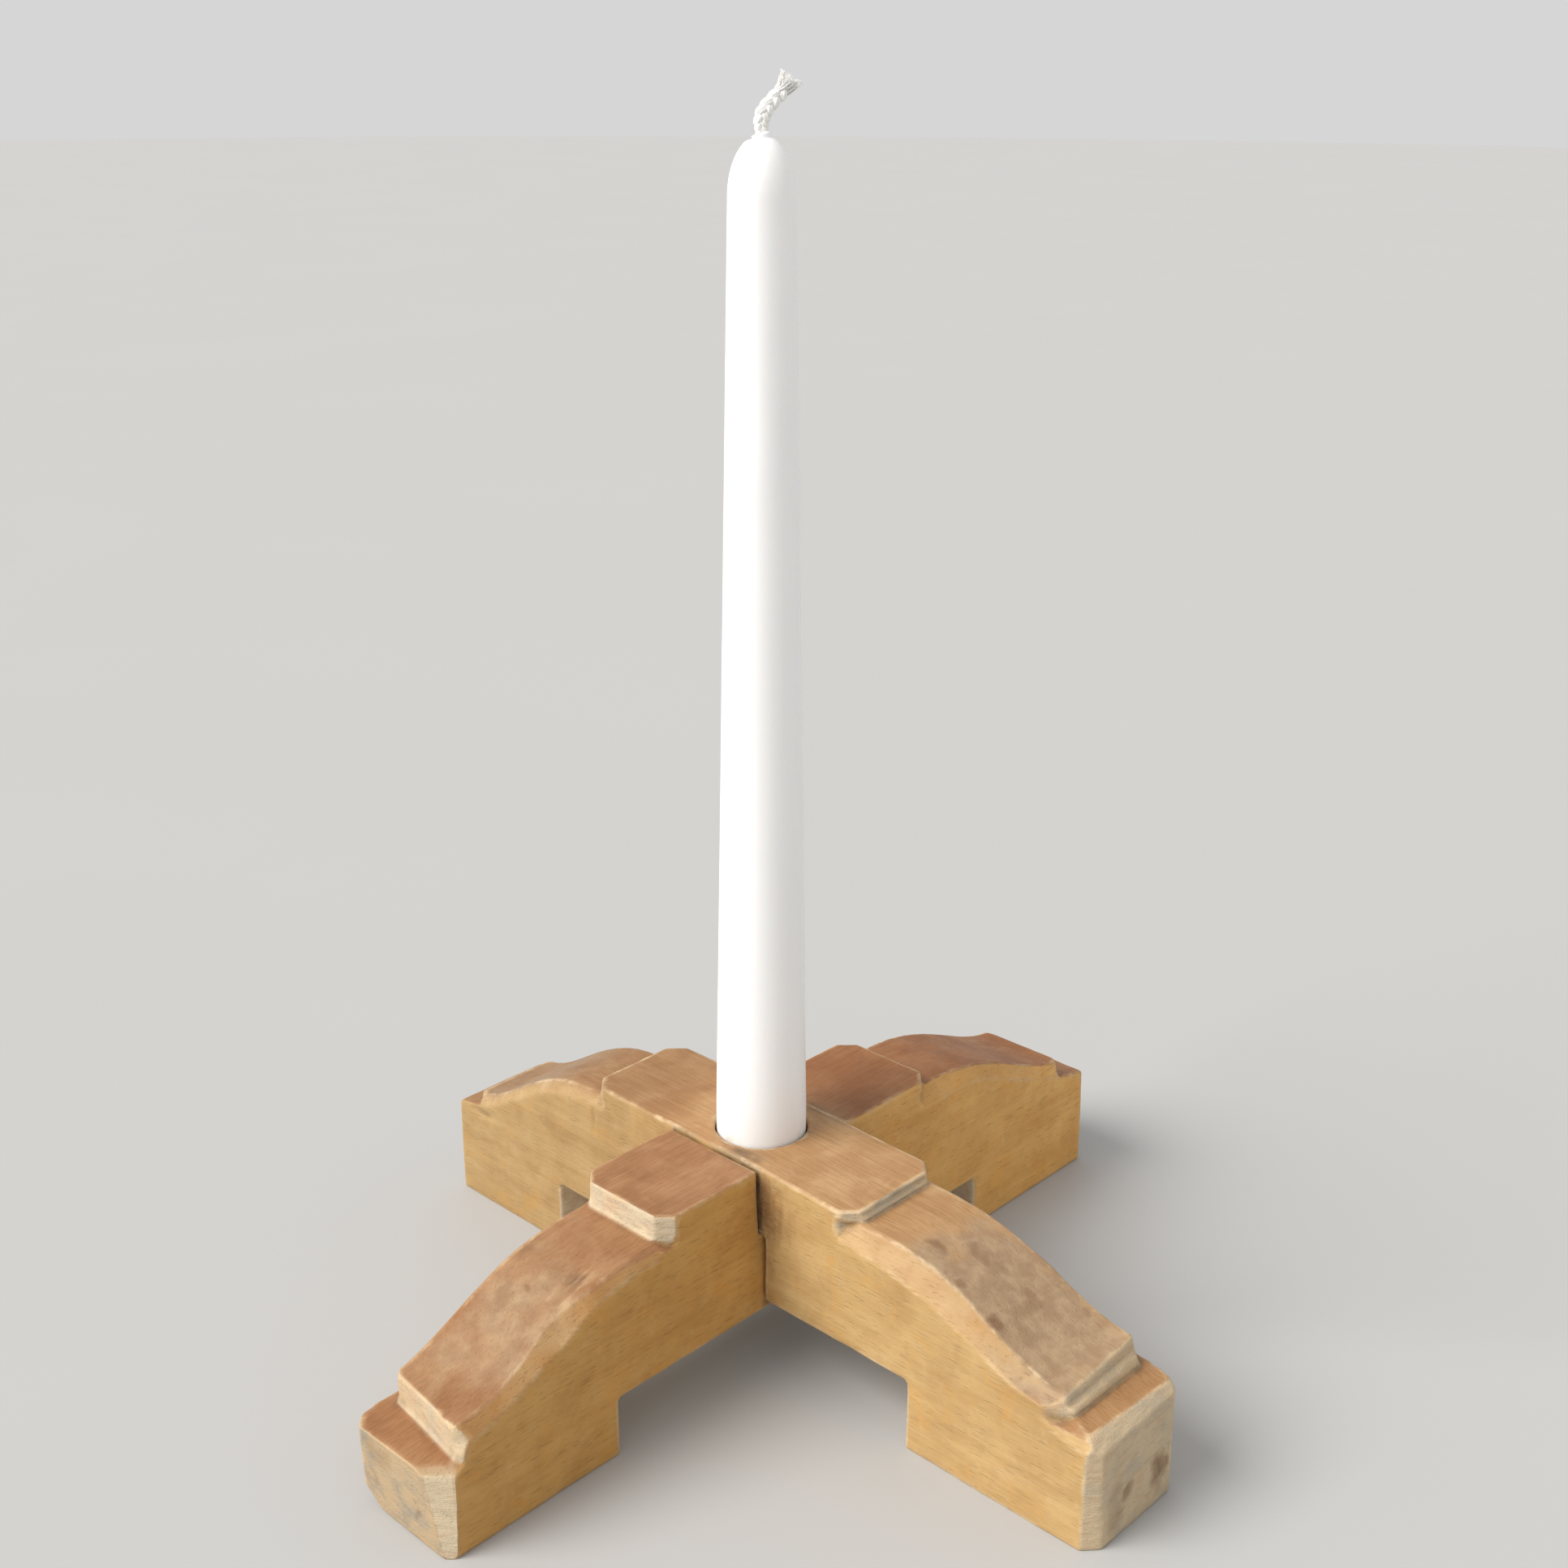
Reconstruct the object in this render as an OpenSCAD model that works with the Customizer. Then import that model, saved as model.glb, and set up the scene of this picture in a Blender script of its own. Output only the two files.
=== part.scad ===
// Table candle holder: two hand-carved wooden beams that cross in a half lap,
// with a taper candle standing in a hole at the crossing.
// Lengths are in millimetres and heights are measured from the table.
// The origin is on the table, in the middle of the four arms' overall outline.

/* [Beams] */
// Width of both beams
beam_w = 30.5; // [28:0.5:34]
// Height of the flat top of the upper beam
top_h = 54; // [52:0.5:58]
// How much lower the flat top of the lower beam lies
top_drop = 0.8; // [0:0.1:2]
// Height of the face where the beams meet in the half lap
lap_h = 36; // [30:0.5:40]
// Play on each side of the lap notches
lap_play = 0.35; // [0.1:0.05:0.6]
// Height of the arch under the upper and the lower beam
arch_h = [18, 15]; // [10:0.5:20]

/* [Arms: front right, back left, front left, back right] */
// From the candle's axis to the outermost point of each arm
reach = [113, 102.5, 113, 117.5]; // [103:0.5:125]
// From the candle's axis to the end of the raised plate
plate_reach = [43, 45.5, 46, 48.5]; // [42:0.5:50]
// Height where the slope starts, at the end of the plate
slope_top_h = [50.2, 49.8, 46.9, 49.7]; // [46:0.1:51]
// From the candle's axis to the step at the end of the slope
slope_reach = [101, 95, 103.5, 107.5]; // [90:0.5:108]
// Height of the slope at the step
slope_end_h = [35.6, 31.5, 30, 34.5]; // [28:0.1:40]
// Height of the ledge at the foot of the step
ledge_h = [29.7, 29.2, 23, 31]; // [20:0.1:32]
// Height of the ledge at the tip of the arm
tip_h = [27.6, 27.4, 22, 28]; // [18:0.1:30]
// Lean of the end face: above zero its bottom stands out, below zero it is undercut
end_lean = [1, 1, -2, 0.5]; // [-4:0.5:4]
// From the candle's axis to the inner face of the foot
foot_inner = [60.5, 59.5, 62, 67]; // [50:0.5:75]
// Corner cut of the end face, on the front side of the holder
end_corner_front = [3.5, 1.5, 2, 1.5]; // [0.5:0.5:5]
// Corner cut of the end face, on the back side of the holder
end_corner_back = [2.5, 2, 3, 2]; // [0.5:0.5:5]

/* [Carving] */
// How late the slope falls away: 1 is even, more keeps the shoulder longer
slope_lag = 1.4; // [1:0.05:2]
// Corner cut of the plates
plate_corner = 4; // [1:0.5:6]
// Corner cut of the steps
step_corner = 3.5; // [1:0.5:6]
// Bevel along both edges of the slopes
slope_bevel = 2.6; // [1:0.1:4]

/* [Candle] */
// Diameter of the hole at the crossing
hole_d = 22.8; // [22.4:0.1:24]
// Diameter of the candle in the hole
candle_d = 22; // [20:0.1:22.2]
// Diameter of the candle at the foot of its dome
candle_tip_d = 14.5; // [12:0.1:18]
// Height at which the candle starts to taper
taper_start_h = 60; // [56:1:80]
// Height of the top of the wax
wax_top_h = 285.8; // [250:0.1:320]
// Height of the dome, with the neck around the wick
dome_h = 13.2; // [8:0.1:16]
// Diameter of the neck around the wick
neck_d = 4.2; // [3.4:0.1:6]
// Bevel around the bottom edge of the candle
base_bevel = 0.6; // [0.2:0.1:2]

/* [Wick] */
// Diameter of the braided wick
wick_d = 2.6; // [1.5:0.1:3]
// Direction in which the wick leans, counted from the front right arm
wick_lean = 43; // [0:1:359]

/* [Hidden] */
$fn = 96;

// Places in the lists above
UPPER = 0;
LOWER = 1;
FRONT_RIGHT = 0;
BACK_LEFT = 1;
FRONT_LEFT = 2;
BACK_RIGHT = 3;
// The direction of each arm, counted from the front right arm
ARM_TURN = [0, 180, -90, 90];
// Whether the holder's front side lies on the arm's own right, looking outwards
FRONT_ON_RIGHT = [true, false, false, true];

half_w = beam_w / 2;
slope_steps = 14;
// Sketches reach past their neighbours by this much, so that no faces only touch
lap_over = 1;
// The candle's axis, seen from the middle of the outline
axis_x = (reach[BACK_LEFT] - reach[FRONT_RIGHT]) / 2;
axis_y = (reach[FRONT_LEFT] - reach[BACK_RIGHT]) / 2;

wax_r = candle_d / 2;
tip_r = candle_tip_d / 2;
neck_r = neck_d / 2;
wick_r = wick_d / 2;
dome_steps = 16;
neck_h = 0.8;
wick_sides = 12;
wick_core_h = wax_top_h - 1;
// The free end of the wick: sideways offset, height above the wax, radius
wick_route = [
    [0, -1.4, 1.2], [0, 0, 1.25], [-0.2, 1.2, 1.4], [0.1, 2.7, 1.6], [1, 4.3, 1.55],
    [2.5, 5.9, 1.45], [4, 7.4, 1.5], [5.2, 8.9, 2.1], [6.2, 10.6, 3]
];

// Smooth rise from 0 to 1 that starts late
function lagged(t) = let (s = pow(t, slope_lag)) s * s * (3 - 2 * s);

// Height of the slope of an arm at a distance u from the candle's axis
function slope_h(arm, u) =
    let (t = (u - plate_reach[arm]) / (slope_reach[arm] - plate_reach[arm]))
    slope_top_h[arm] + (slope_end_h[arm] - slope_top_h[arm]) * lagged(t);

// Distances along the slope, from the plate to the step
function slope_stations(arm) = [
    for (k = [0:slope_steps])
        plate_reach[arm] + (slope_reach[arm] - plate_reach[arm]) * k / slope_steps
];

// Side view of an arm from the candle's axis to the step
function slope_outline(arm, arch) = concat(
    [[slope_reach[arm], arch], [-lap_over, arch], [-lap_over, slope_top_h[arm]]],
    [for (u = slope_stations(arm)) [u, slope_h(arm, u)]]
);

// Side view of the foot, with the ledge on its top
function foot_outline(arm) =
    let (
        tip_u = reach[arm] - max(end_lean[arm], 0),
        toe_u = reach[arm] + min(end_lean[arm], 0),
        inner_u = foot_inner[arm]
    )
    [
        [inner_u, 0], [toe_u, 0], [tip_u, tip_h[arm]],
        [slope_reach[arm] - step_corner - lap_over, ledge_h[arm]], [inner_u, ledge_h[arm]]
    ];

// Plan of an arm that ends at end_u, with its right and left corners cut
function plan_outline(end_u, right, left) = [
    [-lap_over, -half_w], [end_u - right, -half_w], [end_u, right - half_w],
    [end_u, half_w - left], [end_u - left, half_w], [-lap_over, half_w]
];

module side_prism(outline) {
    rotate([90, 0, 0]) linear_extrude(beam_w, center = true) polygon(outline);
}

module plan_prism(outline, low, high) {
    translate([0, 0, low]) linear_extrude(high - low) polygon(outline);
}

// Triangular strip that takes the sharp edge off the slope, on the side of +Y
module slope_edge_cut(arm) {
    stations = slope_stations(arm);
    last = len(stations) - 1;
    points = [
        for (u = stations) each [
            [u, half_w, slope_h(arm, u) - slope_bevel],
            [u, half_w - slope_bevel, slope_h(arm, u)],
            [u, half_w + lap_over, slope_h(arm, u) + lap_over]
        ]
    ];
    sides = [
        for (k = [0:last - 1], c = [0:2])
            [3 * k + (c + 1) % 3, 3 * k + 3 + (c + 1) % 3, 3 * k + 3 + c, 3 * k + c]
    ];
    polyhedron(points, concat([[2, 1, 0]], sides, [[3 * last, 3 * last + 1, 3 * last + 2]]));
}

// One arm along +X, from the candle's axis outwards
module arm(arm, arch, top) {
    front = end_corner_front[arm];
    back = end_corner_back[arm];
    right = FRONT_ON_RIGHT[arm] ? front : back;
    left = FRONT_ON_RIGHT[arm] ? back : front;
    difference() {
        intersection() {
            side_prism(slope_outline(arm, arch));
            plan_prism(plan_outline(slope_reach[arm], step_corner, step_corner), 0, top);
        }
        slope_edge_cut(arm);
        mirror([0, 1, 0]) slope_edge_cut(arm);
    }
    intersection() {
        side_prism(foot_outline(arm));
        plan_prism(plan_outline(reach[arm], right, left), -lap_over, top);
    }
    plan_prism(plan_outline(plate_reach[arm], plate_corner, plate_corner), lap_h, top);
}

// A beam without its lap: two arms that point away from each other
module beam_blank(first, second, arch, top) {
    rotate([0, 0, ARM_TURN[first]]) arm(first, arch, top);
    rotate([0, 0, ARM_TURN[second]]) arm(second, arch, top);
}

// The space that the other beam takes up in the lap
module lap_notch(low, high) {
    side = beam_w + 2 * lap_play;
    translate([0, 0, (low + high) / 2]) cube([side, side, high - low], center = true);
}

module at_candle_axis() {
    translate([axis_x, axis_y, 0]) children();
}

module lower_beam() {
    top = top_h - top_drop;
    color([0.70, 0.48, 0.26]) at_candle_axis() difference() {
        beam_blank(FRONT_LEFT, BACK_RIGHT, arch_h[LOWER], top);
        lap_notch(lap_h, top + lap_over);
    }
}

module upper_beam() {
    color([0.76, 0.55, 0.31]) at_candle_axis() difference() {
        beam_blank(FRONT_RIGHT, BACK_LEFT, arch_h[UPPER], top_h);
        lap_notch(0, lap_h);
        translate([0, 0, lap_h - lap_over])
            cylinder(h = top_h - lap_h + 2 * lap_over, d = hole_d);
    }
}

// Half section of the wax: bottom bevel, straight base, taper, dome, neck and wick bore
function wax_outline() =
    let (dome_low = wax_top_h - dome_h, dome_top = dome_h - neck_h, neck_angle = asin(neck_r / tip_r))
    concat(
        [
            [wick_r, lap_h], [wax_r - base_bevel, lap_h], [wax_r, lap_h + base_bevel],
            [wax_r, taper_start_h]
        ],
        [
            for (k = [0:dome_steps])
                let (a = (90 - neck_angle) * k / dome_steps)
                [tip_r * cos(a), dome_low + dome_top * sin(a)]
        ],
        [[neck_r, wax_top_h - neck_h / 2], [wick_r, wax_top_h]]
    );

module candle_wax() {
    color([0.96, 0.96, 0.95]) at_candle_axis() rotate_extrude() polygon(wax_outline());
}

// The free end of the wick: a tube that bends in one upright plane and spreads into a tuft
module wick_end() {
    last = len(wick_route) - 1;
    points = [
        for (k = [0:last])
            let (
                ahead = wick_route[min(k + 1, last)],
                behind = wick_route[max(k - 1, 0)],
                tilt = atan2(ahead[0] - behind[0], ahead[1] - behind[1]),
                spot = wick_route[k]
            )
            for (s = [0:wick_sides - 1])
                let (a = 360 * s / wick_sides, out = spot[2] * cos(a))
                [
                    spot[0] + out * cos(tilt), spot[2] * sin(a),
                    wax_top_h + spot[1] - out * sin(tilt)
                ]
    ];
    sides = [
        for (k = [0:last - 1], s = [0:wick_sides - 1])
            let (low = k * wick_sides, next = (s + 1) % wick_sides)
            [low + s, low + wick_sides + s, low + wick_sides + next, low + next]
    ];
    bottom = [for (s = [0:wick_sides - 1]) s];
    tip = [for (s = [0:wick_sides - 1]) (last + 1) * wick_sides - 1 - s];
    polyhedron(points, concat([bottom], sides, [tip]));
}

module candle_wick() {
    color([0.90, 0.88, 0.80]) at_candle_axis() {
        translate([0, 0, lap_h]) cylinder(h = wick_core_h - lap_h, d = wick_d);
        rotate([0, 0, wick_lean]) wick_end();
    }
}

lower_beam();
upper_beam();
candle_wax();
candle_wick();
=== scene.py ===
"""Crossed-beam candle holder: carved wood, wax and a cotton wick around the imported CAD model."""
import itertools
import math
from typing import NamedTuple

import bpy
import numpy as np
from mathutils import Matrix, Vector


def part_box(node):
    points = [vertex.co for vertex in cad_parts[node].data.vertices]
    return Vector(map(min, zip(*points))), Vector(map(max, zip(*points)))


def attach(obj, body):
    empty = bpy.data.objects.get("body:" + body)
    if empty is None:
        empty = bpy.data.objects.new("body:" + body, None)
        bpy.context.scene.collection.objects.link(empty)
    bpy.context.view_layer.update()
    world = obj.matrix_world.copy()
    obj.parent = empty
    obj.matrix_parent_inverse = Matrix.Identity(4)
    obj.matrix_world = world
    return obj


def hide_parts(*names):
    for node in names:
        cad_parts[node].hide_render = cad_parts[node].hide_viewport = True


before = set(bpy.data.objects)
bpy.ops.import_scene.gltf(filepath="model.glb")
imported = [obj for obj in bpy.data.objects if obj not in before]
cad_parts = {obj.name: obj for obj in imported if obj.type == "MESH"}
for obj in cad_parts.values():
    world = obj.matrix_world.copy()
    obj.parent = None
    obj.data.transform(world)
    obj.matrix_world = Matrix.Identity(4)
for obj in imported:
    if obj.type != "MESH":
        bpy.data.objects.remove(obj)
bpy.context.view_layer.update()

MM = 0.001

# ---------- measures taken from the CAD model


def box_mm(node):
    """Lowest and highest corner of a CAD node, in millimetres."""
    low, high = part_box(node)
    return np.array(low) / MM, np.array(high) / MM


UPPER_LOW, UPPER_HIGH = box_mm("upper_beam")
LOWER_LOW, LOWER_HIGH = box_mm("lower_beam")
WAX_LOW, WAX_HIGH = box_mm("candle_wax")
AXIS = (WAX_LOW + WAX_HIGH)[:2] / 2
HALF_W = (UPPER_HIGH[1] - UPPER_LOW[1]) / 2
TOP_H = UPPER_HIGH[2]
LAP_H = WAX_LOW[2]
CELL = 0.64

# ---------- noise and small helpers


def smooth(part):
    """Ease in and out between 0 and 1."""
    return part * part * (3 - 2 * part)


def lattice(cells, seed):
    """One repeatable random number from 0 to 1 for each whole-number point."""
    mixed = cells @ np.array([73856093, 19349663, 83492791]) + seed * 7919
    mixed = (mixed ^ (mixed >> 13)) * 1274126177 & 0x7FFFFFFF
    mixed = (mixed ^ (mixed >> 15)) * 668265263 & 0x7FFFFFFF
    return (mixed ^ (mixed >> 16)) / 0x7FFFFFFF


def noise(points, size, seed):
    """Smooth noise from -1 to 1 in lumps of the given size, which may differ along each axis."""
    spots = points / np.array(size)
    base = np.floor(spots).astype(np.int64)
    part = smooth(spots - base)
    total = np.zeros(len(points))
    for corner in itertools.product((0, 1), repeat=3):
        weight = np.prod(np.where(corner, part, 1 - part), axis=1)
        total += weight * lattice(base + np.array(corner), seed)
    return 2 * total - 1


def rough_noise(points, size, seed):
    """Noise with two finer layers on top."""
    size = np.array(size)
    fine = noise(points, size / 2, seed + 1) / 2 + noise(points, size / 4, seed + 2) / 4
    return (noise(points, size, seed) + fine) / 1.4


def rise(value, low, high):
    """0 below low, 1 above high, smooth between them."""
    return smooth(np.clip((value - low) / (high - low), 0, 1))


def hump(value, middle, spread):
    """1 at the middle, fading to 0 about two spreads away."""
    return np.exp(-(((value - middle) / spread) ** 2))


def unit(vector):
    return np.array(vector, float) / np.linalg.norm(vector)


# ---------- mesh tools


def new_piece(name, mesh, body, slot, *nodes):
    """Put a mesh into the scene as a piece that stands for CAD nodes and rides on their body."""
    piece = bpy.data.objects.new(name, mesh)
    bpy.context.collection.objects.link(piece)
    for polygon in mesh.polygons:
        polygon.use_smooth = True
    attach(piece, body)
    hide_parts(*nodes)
    return piece


def mesh_from(name, points_mm, faces):
    mesh = bpy.data.meshes.new(name)
    mesh.from_pydata((np.array(points_mm) * MM).tolist(), [], faces)
    mesh.validate()
    mesh.update()
    return mesh


def fine_copy(node, name, cell):
    """An evenly meshed copy of a CAD node, with faces about one cell wide (millimetres)."""
    rough = bpy.data.objects.new(name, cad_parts[node].data.copy())
    bpy.context.collection.objects.link(rough)
    remesh = rough.modifiers.new("fine", "REMESH")
    remesh.mode = "VOXEL"
    remesh.voxel_size = cell * MM
    seen = rough.evaluated_get(bpy.context.evaluated_depsgraph_get())
    mesh = bpy.data.meshes.new_from_object(seen)
    mesh.name = name
    bpy.data.objects.remove(rough)
    mesh.materials.clear()
    return mesh


def read(items, name, width, kind):
    """One property of all vertices or edges, a row for each."""
    flat = np.empty(len(items) * width, kind)
    items.foreach_get(name, flat)
    return flat.reshape(-1, width)


def points_of(mesh):
    return read(mesh.vertices, "co", 3, float) / MM


def normals_of(mesh):
    return read(mesh.vertex_normals, "vector", 3, np.float32).astype(float)


def edges_of(mesh):
    return read(mesh.edges, "vertices", 2, np.int32)


def set_points(mesh, points):
    mesh.vertices.foreach_set("co", (points * MM).ravel())
    mesh.update()


def averaged(points, edges, rounds):
    """Each point moved halfway to the middle of its neighbours, several times."""
    first, second = edges.T
    count = np.bincount(edges.ravel(), minlength=len(points))
    for _ in range(rounds):
        middle = np.empty_like(points)
        for axis in range(points.shape[1]):
            middle[:, axis] = np.bincount(first, points[second, axis], len(points))
            middle[:, axis] += np.bincount(second, points[first, axis], len(points))
        points = (points + middle / count[:, None]) / 2
    return points


def set_mask(mesh, name, values):
    layer = mesh.attributes.new(name, "FLOAT", "POINT")
    layer.data.foreach_set("value", np.clip(values, 0, 1).astype(np.float32))


# ---------- the four arms

# The slope falls late, as in the CAD
LATE_FALL = 1.4


class Arm(NamedTuple):
    """One arm's outline as in the CAD, in its own measures.

    u points outwards, w towards the holder's front (the photographed side) and z up.
    """

    out: tuple  # direction of u
    near: tuple  # direction of w
    reach: float  # u of the end face
    plate: float  # u where the raised plate ends
    slope_end: float  # u of the second step
    slope_top: float  # height where the slope starts
    step_h: float  # height where the slope ends
    ledge: float  # height of the ledge beyond the second step
    arch: float  # height of the arch beside the foot

    def local(self, points):
        flat = points[:, :2] - AXIS
        return np.column_stack([flat @ self.out, flat @ self.near, points[:, 2]])

    def world(self, local):
        flat = AXIS + local[:, :1] * self.out + local[:, 1:2] * self.near
        return np.column_stack([flat, local[:, 2]])

    def turned(self, normals):
        flat = normals[:, :2]
        return np.column_stack([flat @ self.out, flat @ self.near, normals[:, 2]])

    def slope(self, u):
        """Height of the slope at a distance out."""
        part = np.clip((u - self.plate) / (self.slope_end - self.plate), 0, 1) ** LATE_FALL
        return self.slope_top + (self.step_h - self.slope_top) * smooth(part)


FRONT_RIGHT = Arm(
    out=(1, 0), near=(0, -1), reach=113, plate=43, slope_end=101,
    slope_top=50.2, step_h=35.6, ledge=29, arch=18)
BACK_LEFT = Arm(
    out=(-1, 0), near=(0, -1), reach=102.5, plate=45.5, slope_end=95,
    slope_top=49.8, step_h=31.5, ledge=28.5, arch=18)
FRONT_LEFT = Arm(
    out=(0, -1), near=(1, 0), reach=113, plate=46, slope_end=103.5,
    slope_top=46.9, step_h=30, ledge=22.5, arch=15)
BACK_RIGHT = Arm(
    out=(0, 1), near=(1, 0), reach=117.5, plate=48.5, slope_end=107.5,
    slope_top=49.7, step_h=34.5, ledge=30, arch=15)

# ---------- the carver's tools

PLATE_CORNER = 4  # side of the corner cut off the plate
BEVEL_REACH = 9  # how far below the slope a bevel may still cut
SLIT_DEPTH = 0.45  # depth of the line where two saw cuts meet


def shave(local, through, facing, where=1.0):
    """Cut away what stands beyond a plane, as a chisel does."""
    facing = unit(facing)
    over = np.maximum((local - through) @ facing, 0) * where
    return local - over[:, None] * facing


def dent(local, middle, spread, push):
    """Press a soft hollow of the given spread along the push."""
    gap = ((local - np.array(middle)) / np.array(spread)) ** 2
    return local + np.exp(-gap.sum(axis=1))[:, None] * np.array(push)


def along_arm(local, size, seed):
    """Noise that changes only along the arm."""
    return noise(local * [1, 0, 0], size, seed)


def bevel(local, arm, side, inset, drop, past=0.6):
    """Bevel one edge of the slope: inset across its top, drop down its side.

    It starts at the cut corner of the plate and stops a little past the step.
    """
    u, w, z = local.T
    inset, drop = inset + 0 * u, drop + 0 * u
    facing = np.column_stack([0 * u, side * drop, inset])
    facing /= np.linalg.norm(facing, axis=1)[:, None]
    through = np.column_stack([u, side * (HALF_W - inset), arm.slope(u)])
    over = np.maximum(((local - through) * facing).sum(axis=1), 0)
    corner = arm.plate + HALF_W - PLATE_CORNER
    over *= rise(u + side * w, corner - 0.3, corner + 0.3) * (u < arm.slope_end + past)
    over *= (z > arm.slope(u) - BEVEL_REACH) & (z < arm.slope_top + 0.35)
    return local - over[:, None] * facing


def two_saw_cuts(local, normals, at, low, high, proud):
    """An upright cut made in two goes: its lower half stands a little proud."""
    middle = (low + high) / 2
    face = rise(normals[:, 0], 0.8, 0.95) * hump(local[:, 0], at, 2.5)
    lower = 1 - rise(local[:, 2], middle - 0.5, middle + 0.5)
    slit = hump(local[:, 2], middle + 0.3, 0.6)
    moved = local.copy()
    moved[:, 0] += face * (proud * lower - SLIT_DEPTH * slit)
    return moved


def lean_side(local, w, z, amount):
    """Lean the front side inwards towards its top."""
    local[:, 1] -= np.maximum(w, 0) / HALF_W * amount * rise(z, 4, 54)


def lean_shoulder(local, u, z, amount):
    """Lean the shoulder at the crossing outwards, which opens the joint at its top."""
    local[:, 0] += amount * rise(z, 37, 54) * (1 - rise(u, 15.5, 21))


# ---------- carving

# Flat cuts: a point on each plane and the way the plane faces
FRONT_RIGHT_LEDGE_CUTS = [
    # the ledge falls away towards the end
    ((108.4, 0, 28.9), (0.7, 0.03, 0.71)),
    # its front corner is rolled over in two cuts
    ((108, 11.8, 28.9), (0.05, 0.40, 0.91)),
    ((108, 14.3, 27.9), (0.12, 0.83, 0.54)),
    # its back corner is knocked off
    ((110.8, -13.5, 28), (0.6, -0.5, 0.6)),
]

# Torn fibres beside the slipped chisel cut: distance out, offset to the front, depth
TORN_FIBRES = [(64.5, 4.6, 0.4), (66, 6.1, 0.75), (69, 7.5, 0.55), (72, 8.7, 0.45)]


def carve_front_right(local, normals):
    arm = FRONT_RIGHT
    u, w, z = local.T.copy()
    # the arm widens outwards, and its plate sinks a little
    local[:, 1] *= 1 + 0.055 * rise(u, 10, 100)
    local[:, 2] -= 1.0 * rise(u, 6, 44) * rise(z, 49, 53.5)
    local = two_saw_cuts(local, normals, arm.plate, arm.slope_top, TOP_H - 1, 0.5)
    local = two_saw_cuts(local, normals, arm.slope_end, arm.ledge, arm.step_h, 0.6)
    wander = along_arm(local, 9, 11)
    drop = np.interp(u, [80, 98], [4.6, 3.0])
    local = bevel(local, arm, 1, 3.1 + 0.35 * wander, drop + 0.5 * wander)
    local = bevel(local, arm, -1, 2.4, 2.8 + 0.6 * along_arm(local, 7, 12))
    # the slope dips towards the front near the step, and the step leans outwards
    on_top = rise(local[:, 2], arm.ledge + 0.5, arm.slope(u) - 0.3) * (u < arm.slope_end + 1)
    local[:, 2] -= 2.2 * (w + 10) / 22 * rise(u, 70, 101) * on_top
    lean = 0.5 + 1.9 * (1 - np.clip((z - arm.ledge) / 6, 0, 1))
    local[:, 0] += lean * rise(u, 95, 101) * (1 - np.clip((u - arm.slope_end) / 7, 0, 1))
    ledge = rise(u + np.maximum(w - 11.5, 0), 101.2, 101.7) * (z < arm.ledge + 1.4)
    for through, facing in FRONT_RIGHT_LEDGE_CUTS:
        local = shave(local, through, facing, ledge)
    return local


def carve_back_left(local, normals):
    arm = BACK_LEFT
    # the arm narrows outwards
    local[:, 1] *= 1 - 0.026 * rise(local[:, 0], 10, 95)
    wander = along_arm(local, 8, 21)
    local = two_saw_cuts(local, normals, arm.plate, arm.slope_top, TOP_H, 0.3)
    local = bevel(local, arm, 1, 2.3 + 0.5 * wander, 2.8 + 0.9 * wander)
    local = bevel(local, arm, -1, 2.6, 3.4 + 0.8 * along_arm(local, 9, 22))
    # splinter lost next to the step
    local = dent(local, (92, 15.2, 27), (5, 1.2, 1.1), (0, -0.8, 0))
    # the saw ran on below the plate
    return dent(local, (arm.plate - 0.6, 15.2, 45), (0.45, 1.5, 5), (0, -0.5, 0))


def skewed_step(local, arm, u, w, z):
    """The front left step was cut askew, and only its top corner is cut off."""
    askew = 0.5 + 2.0 * w / HALF_W
    local[:, 0] += askew * rise(u, 95, 102.5) * (1 - np.clip((u - arm.slope_end - 0.5) / 7, 0, 1))
    cut = np.maximum(w - HALF_W + 3.5, 0)
    foot = arm.slope_end - cut
    squared = cut * (1 - rise(z, arm.ledge + 1.5, arm.step_h - 1)) * rise(u, 94, foot)
    local[:, 0] += squared * (1 - np.clip((u - foot) / (arm.reach - 3 - foot), 0, 1))


def carve_front_left(local, normals):
    arm = FRONT_LEFT
    u, w, z = local.T.copy()
    lean_shoulder(local, u, z, 0.4)
    skewed_step(local, arm, u, w, z)
    # the front bevel is nearly level at first; then the chisel slipped inwards
    wander = along_arm(local, 10, 31)
    inset = np.interp(u, [46, 60, 66, 75, 86, 96], [3.6, 3.5, 2.5, 4.9, 3.4, 2.8])
    drop = np.interp(u, [46, 60, 68, 78, 90], [1.5, 1.6, 3.0, 3.7, 3.0])
    local = bevel(local, arm, 1, inset + 0.2 * wander, drop + 0.3 * wander, past=2.6)
    local = bevel(local, arm, -1, 2.3, 2.4 + 0.5 * wander)
    lean_side(local, w, z, 1.3)
    for start, across, depth in TORN_FIBRES:
        local = dent(local, (start, across, arm.slope(start)), (3.6, 0.55, 1.6), (0, 0, -depth))
    # a nick in the step's edge
    local = dent(local, (103.6, 7, 30), (1.3, 0.9, 0.9), (-0.5, 0, -0.7))
    # the end's front corner is cut off, its back corner undercut and its top corner rounded
    local = shave(local, (112.2, 11.7, 1.1), (0.72, 0.69, 0.058), rise(u, 100, 106))
    local = shave(local, (112.4, -10, 2.6), (0.55, -0.5, -0.7), rise(u, 98, 106))
    local = shave(local, (110, 14.6, 19.4), (0.5, 0.42, 0.75), z < arm.ledge + 1.2)
    # chips along the bottom edge
    chips = rise(noise(local, (7, 30, 30), 33), 0.25, 0.6)
    local[:, 1] -= 0.9 * chips * hump(z, 0, 1.6) * hump(w, HALF_W, 1.6)
    return local


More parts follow.
